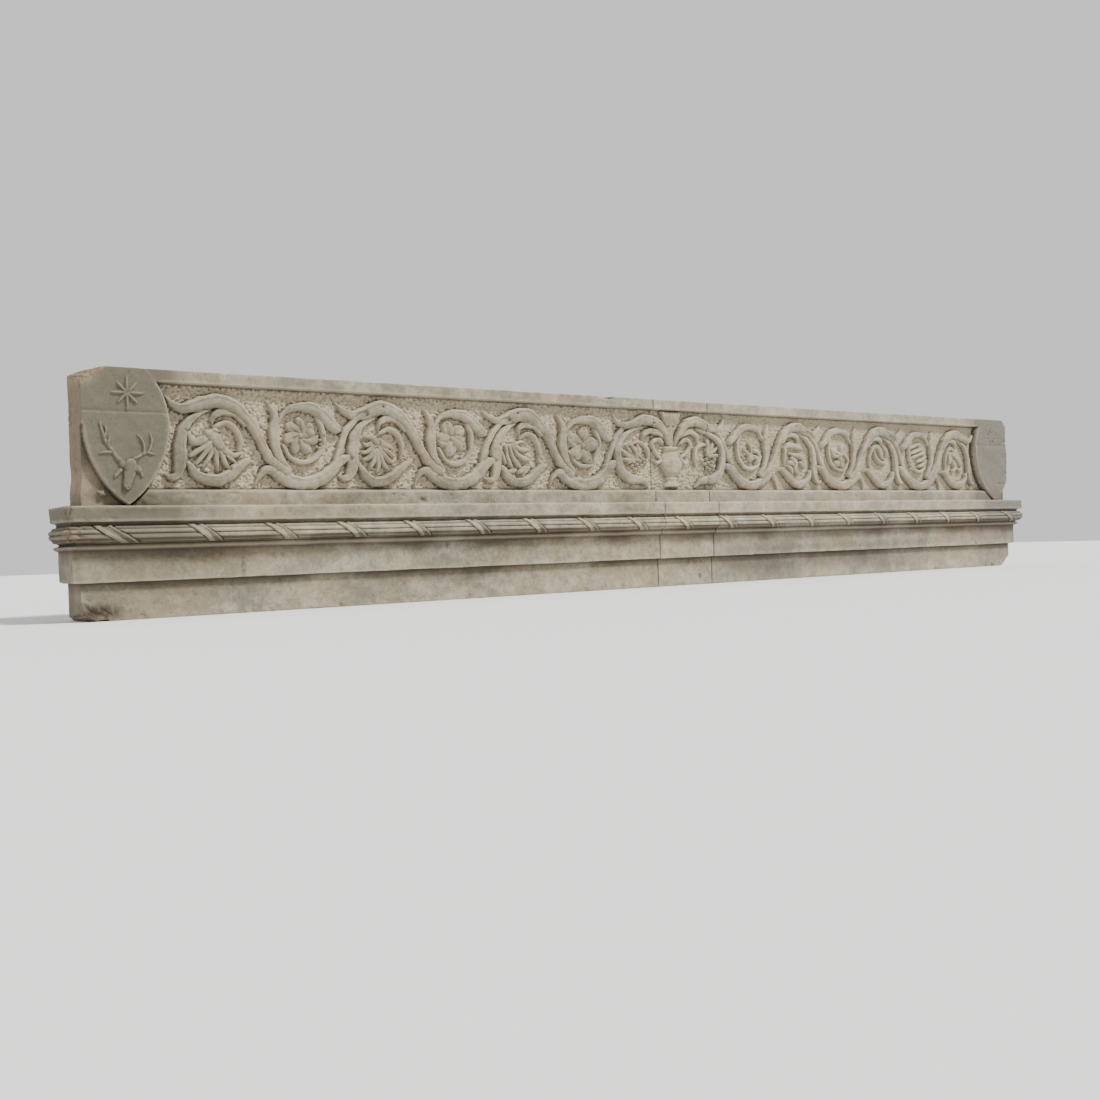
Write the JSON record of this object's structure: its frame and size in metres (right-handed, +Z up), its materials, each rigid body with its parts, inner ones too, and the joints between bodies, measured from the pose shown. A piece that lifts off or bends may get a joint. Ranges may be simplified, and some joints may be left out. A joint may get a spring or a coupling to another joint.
{
  "type": "carved stone fireplace lintel",
  "caption": "Carved stone lintel of a fireplace surround: a frieze of leafy scrolls with an urn between two shields, over a ribbon-bound reed moulding and plain fasciae.",
  "frame": {"origin": "middle of the lintel's box in length and depth, on its underside", "axes": "+X along the lintel's length to the right as seen from the front, +Z up, the carved front faces -Y"},
  "size_m": [3.055, 0.1448, 0.4903],
  "materials": {
    "stone_left": "weathered matt sandstone",
    "stone_centre": "weathered matt sandstone",
    "stone_right": "weathered matt sandstone"
  },
  "bodies": {
    "root": {"stone_left": "stone_left", "stone_centre": "stone_centre", "stone_right": "stone_right"}
  },
  "joints": []
}
